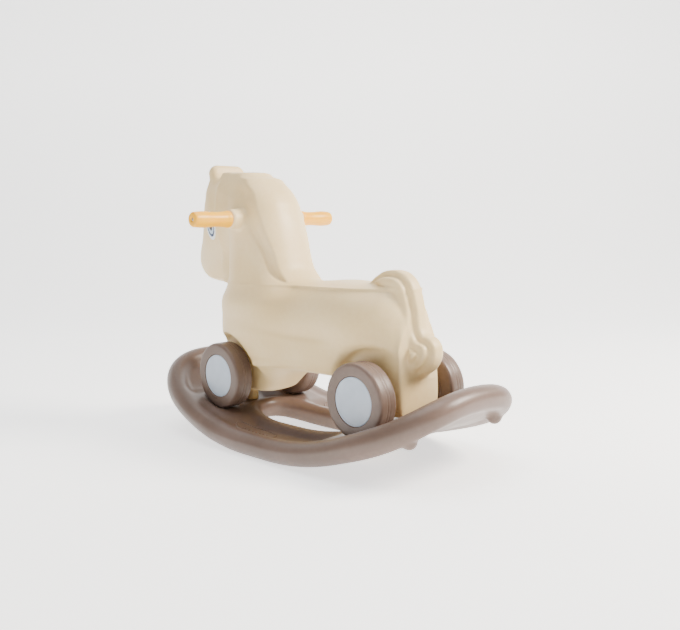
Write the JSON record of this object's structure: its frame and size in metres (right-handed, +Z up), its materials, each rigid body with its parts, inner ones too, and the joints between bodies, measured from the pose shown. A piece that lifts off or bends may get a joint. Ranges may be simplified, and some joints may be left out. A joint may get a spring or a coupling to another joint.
{
  "type": "rocking horse",
  "caption": "Toddler rocking horse: a hollow moulded horse on free-running wheels, with a cross handlebar, standing in a removable curved rocker base.",
  "frame": {"origin": "on the floor, under the middle of the rocker base's bounding box", "axes": "+X towards the horse's nose, +Y to the rider's left, +Z up"},
  "size_m": [0.732, 0.34, 0.518],
  "materials": {
    "horse_plastic": "satin, blow-moulded",
    "base_plastic": "satin, blow-moulded",
    "wheel_plastic": "satin, blow-moulded",
    "disc_plastic": "semi-gloss, injection-moulded",
    "grip_plastic": "semi-gloss, injection-moulded",
    "axle_steel": "zinc-plated",
    "bar_steel": "zinc-plated tube",
    "screw_steel": "zinc-plated",
    "cap_steel": "pressed spring steel",
    "bush_nylon": "satin nylon",
    "eye_vinyl": "printed vinyl label",
    "peg_plastic": "satin, injection-moulded"
  },
  "bodies": {
    "base": {"rocker_base": "base_plastic", "peg_screws": "screw_steel", "peg_washers": "screw_steel"},
    "horse": {"horse_shell": "horse_plastic", "front_axle": "axle_steel", "rear_axle": "axle_steel", "front_axle_bushes": "bush_nylon", "rear_axle_bushes": "bush_nylon", "front_axle_caps": "cap_steel", "rear_axle_caps": "cap_steel", "handlebar_rod": "bar_steel", "grip_left": "grip_plastic", "grip_right": "grip_plastic", "grip_screws": "screw_steel", "eye_left": "eye_vinyl", "eye_right": "eye_vinyl", "front_peg": "peg_plastic", "rear_peg": "peg_plastic"},
    "front_left_wheel": {"wheel_front_left": "wheel_plastic", "disc_front_left": "disc_plastic"},
    "front_right_wheel": {"wheel_front_right": "wheel_plastic", "disc_front_right": "disc_plastic"},
    "rear_left_wheel": {"wheel_rear_left": "wheel_plastic", "disc_rear_left": "disc_plastic"},
    "rear_right_wheel": {"wheel_rear_right": "wheel_plastic", "disc_rear_right": "disc_plastic"}
  },
  "joints": [
    {"name": "horse_lift", "type": "slide", "parent": "base", "child": "horse", "axis": [0, 0, 1], "range_m": [0, 0.15]},
    {"name": "front_left_wheel_spin", "type": "hinge", "parent": "horse", "child": "front_left_wheel", "pos_m": [0.169, 0.0865, 0.116], "axis": [0, 1, 0], "continuous": true},
    {"name": "front_right_wheel_spin", "type": "hinge", "parent": "horse", "child": "front_right_wheel", "pos_m": [0.169, -0.0865, 0.116], "axis": [0, 1, 0], "continuous": true},
    {"name": "rear_left_wheel_spin", "type": "hinge", "parent": "horse", "child": "rear_left_wheel", "pos_m": [-0.191, 0.0865, 0.116], "axis": [0, 1, 0], "continuous": true},
    {"name": "rear_right_wheel_spin", "type": "hinge", "parent": "horse", "child": "rear_right_wheel", "pos_m": [-0.191, -0.0865, 0.116], "axis": [0, 1, 0], "continuous": true}
  ]
}
